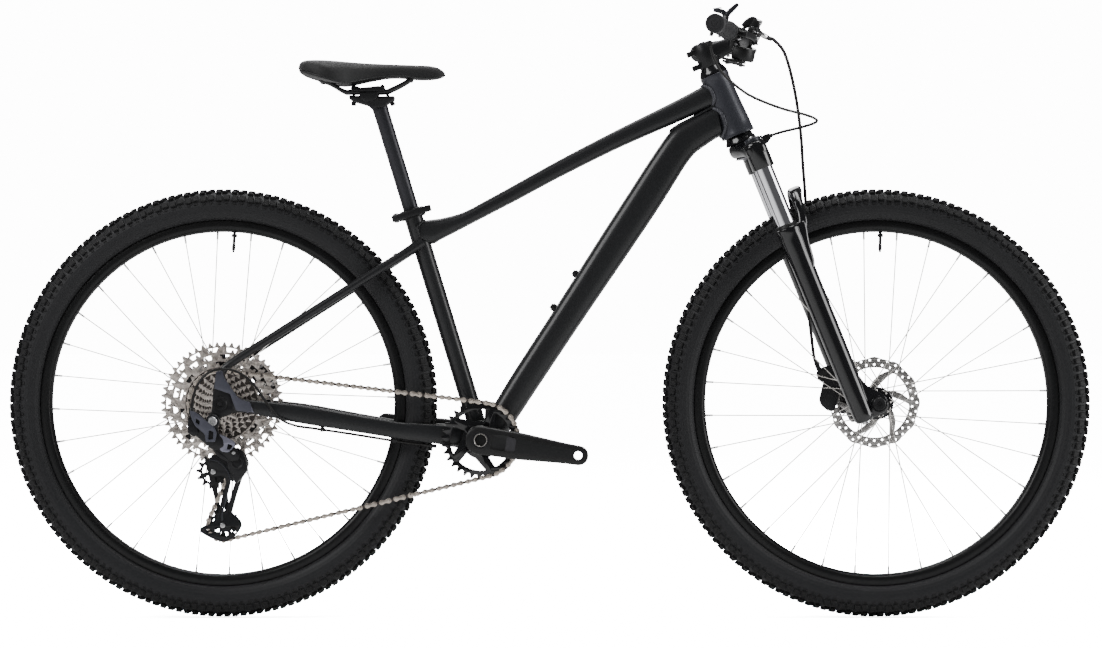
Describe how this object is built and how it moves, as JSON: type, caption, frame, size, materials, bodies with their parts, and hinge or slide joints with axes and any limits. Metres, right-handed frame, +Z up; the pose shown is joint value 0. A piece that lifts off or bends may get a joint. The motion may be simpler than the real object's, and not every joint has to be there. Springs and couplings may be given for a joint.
{
  "type": "mountain bike",
  "caption": "Hardtail mountain bike with flat bar, suspension fork, disc brakes, knobbly tyres, single chainring and rear derailleur.",
  "frame": {"origin": "on the ground, midway between the two axles, in the bike's middle plane", "axes": "+X forward towards the front wheel, +Y to the rider's left, away from the chain, +Z up"},
  "size_m": [1.8806, 0.7358, 1.0516],
  "materials": {
    "frame_paint": "satin black",
    "head_paint": "satin anthracite",
    "gloss_black": "gloss black",
    "satin_black": "satin black anodised",
    "hub_black": "gloss black anodised",
    "steel": "brushed",
    "chrome": "mirror chrome",
    "nickel": "nickel plated",
    "chain": "oiled steel",
    "tyre": "matte rubber",
    "rim": "satin black",
    "plastic": "matte",
    "rubber": "matte",
    "hose": "satin",
    "saddle": "matte",
    "crank": "satin black",
    "caliper": "gloss black",
    "blue_grey": "satin"
  },
  "bodies": {
    "frame": {"head_tube": "head_paint", "headset_upper_bearing": "steel", "headset_lower_bearing": "steel", "bottom_bracket_shell": "frame_paint", "bottom_bracket_unit": "satin_black", "seat_tube": "frame_paint", "top_tube": "frame_paint", "down_tube": "frame_paint", "chainstay_right": "frame_paint", "chainstay_left": "frame_paint", "seatstay_right": "frame_paint", "seatstay_left": "frame_paint", "rear_axle": "satin_black", "seat_clamp_collar": "satin_black", "rear_brake_caliper": "caliper", "derailleur_body": "caliper", "shift_cable": "hose", "chain": "chain"},
    "seat_lever": {"seat_clamp_lever": "satin_black"},
    "seat": {"seatpost": "satin_black", "saddle_rails": "satin_black", "saddle": "saddle"},
    "steering_column": {"fork_crown": "gloss_black", "stanchion_right": "chrome", "stanchion_left": "chrome", "stem": "satin_black", "handlebar": "satin_black", "grip_right": "rubber", "grip_left": "rubber", "brake_master_right": "plastic", "brake_master_left": "plastic", "shifter_body": "plastic", "front_brake_hose": "hose", "lockout_cable": "hose"},
    "dial": {"lockout_dial": "blue_grey"},
    "lowers": {"fork_lowers": "gloss_black", "front_brake_caliper": "caliper", "front_axle": "satin_black"},
    "front_wheel": {"tyre_front": "tyre", "rim_front": "rim", "spokes_front": "steel", "hub_front": "hub_black", "rotor_front": "steel"},
    "rear_wheel": {"tyre_rear": "tyre", "rim_rear": "rim", "spokes_rear": "steel", "hub_rear": "hub_black", "rotor_rear": "steel"},
    "lever_right": {"brake_lever_right": "plastic"},
    "lever_left": {"brake_lever_left": "plastic"},
    "lockout_paddles": {"lockout_lever": "blue_grey"},
    "shift_main": {"shift_lever_main": "plastic"},
    "shift_release": {"shift_lever_release": "plastic"},
    "crankset": {"crank_right": "crank", "crank_left": "crank", "chainring": "hub_black"},
    "sprockets": {"cassette": "nickel"},
    "cage": {"derailleur_cage": "plastic"},
    "guide": {"guide_pulley": "plastic"},
    "tension": {"tension_pulley": "plastic"}
  },
  "joints": [
    {"name": "steering", "type": "hinge", "parent": "frame", "child": "steering_column", "pos_m": [0.3068, 0, 0.8914], "axis": [-0.3746, 0, 0.9272], "range_deg": [-60, 60]},
    {"name": "fork_travel", "type": "slide", "parent": "steering_column", "child": "lowers", "axis": [-0.3746, 0, 0.9272], "range_m": [0, 0.1], "stiffness_N_per_m": 8000, "deforming": ["front_brake_hose"]},
    {"name": "front_wheel_spin", "type": "hinge", "parent": "lowers", "child": "front_wheel", "pos_m": [0.5677, 0, 0.3726], "axis": [0, 1, 0], "continuous": true},
    {"name": "rear_wheel_spin", "type": "hinge", "parent": "frame", "child": "rear_wheel", "pos_m": [-0.5677, 0, 0.3726], "axis": [0, 1, 0], "continuous": true},
    {"name": "crank_spin", "type": "hinge", "parent": "frame", "child": "crankset", "pos_m": [-0.1193, 0, 0.31], "axis": [0, 1, 0], "continuous": true},
    {"name": "cassette_spin", "type": "hinge", "parent": "frame", "child": "sprockets", "pos_m": [-0.5677, 0, 0.3726], "axis": [0, 1, 0], "continuous": true},
    {"name": "cage_pivot", "type": "hinge", "parent": "frame", "child": "cage", "pos_m": [-0.5374, 0, 0.272], "axis": [0, 1, 0], "range_deg": [-20, 0], "stiffness_Nm_per_rad": 2, "springref_deg": 28.65, "deforming": ["chain"]},
    {"name": "guide_pulley_spin", "type": "hinge", "parent": "cage", "child": "guide", "pos_m": [-0.5816, 0, 0.2546], "axis": [0, 1, 0], "continuous": true},
    {"name": "tension_pulley_spin", "type": "hinge", "parent": "cage", "child": "tension", "pos_m": [-0.5651, 0, 0.1621], "axis": [0, 1, 0], "continuous": true},
    {"name": "brake_lever_right_pull", "type": "hinge", "parent": "steering_column", "child": "lever_right", "pos_m": [0.34503, -0.23586, 0.9896], "axis": [-0.2032, 0.0441, -0.9781], "range_deg": [0, 14], "stiffness_Nm_per_rad": 1.5},
    {"name": "brake_lever_left_pull", "type": "hinge", "parent": "steering_column", "child": "lever_left", "pos_m": [0.34503, 0.23586, 0.9896], "axis": [0.2032, 0.0441, 0.9781], "range_deg": [0, 14], "stiffness_Nm_per_rad": 1.5},
    {"name": "lockout_press", "type": "hinge", "parent": "steering_column", "child": "lockout_paddles", "pos_m": [0.29635, -0.21814, 1.02709], "axis": [0.212, 0.9773, 0], "range_deg": [0, 14], "stiffness_Nm_per_rad": 0.6},
    {"name": "lockout_dial_turn", "type": "hinge", "parent": "steering_column", "child": "dial", "pos_m": [0.34852, -0.066, 0.82737], "axis": [-0.3746, 0, 0.9272], "range_deg": [0, 28]},
    {"name": "shift_main_push", "type": "hinge", "parent": "steering_column", "child": "shift_main", "pos_m": [0.32529, -0.16719, 0.95464], "axis": [0.2032, -0.0441, 0.9781], "range_deg": [0, 20], "stiffness_Nm_per_rad": 0.5},
    {"name": "shift_release_push", "type": "hinge", "parent": "steering_column", "child": "shift_release", "pos_m": [0.32431, -0.16698, 0.94994], "axis": [0.2032, -0.0441, 0.9781], "range_deg": [0, 12], "stiffness_Nm_per_rad": 0.5},
    {"name": "seat_lever_open", "type": "hinge", "parent": "frame", "child": "seat_lever", "pos_m": [-0.26595, -0.02, 0.6939], "axis": [0.2924, 0, -0.9563], "range_deg": [0, 90]},
    {"name": "seatpost_height", "type": "slide", "parent": "frame", "child": "seat", "axis": [-0.2924, 0, 0.9563], "range_m": [-0.14, 0.02]}
  ],
  "couplings": [
    {"joint": "cassette_spin", "follows": "crank_spin", "ratio": 1.1429},
    {"joint": "guide_pulley_spin", "follows": "crank_spin", "ratio": -2.4615},
    {"joint": "tension_pulley_spin", "follows": "crank_spin", "ratio": 2.4615},
    {"joint": "lockout_dial_turn", "follows": "lockout_press", "ratio": 2}
  ]
}
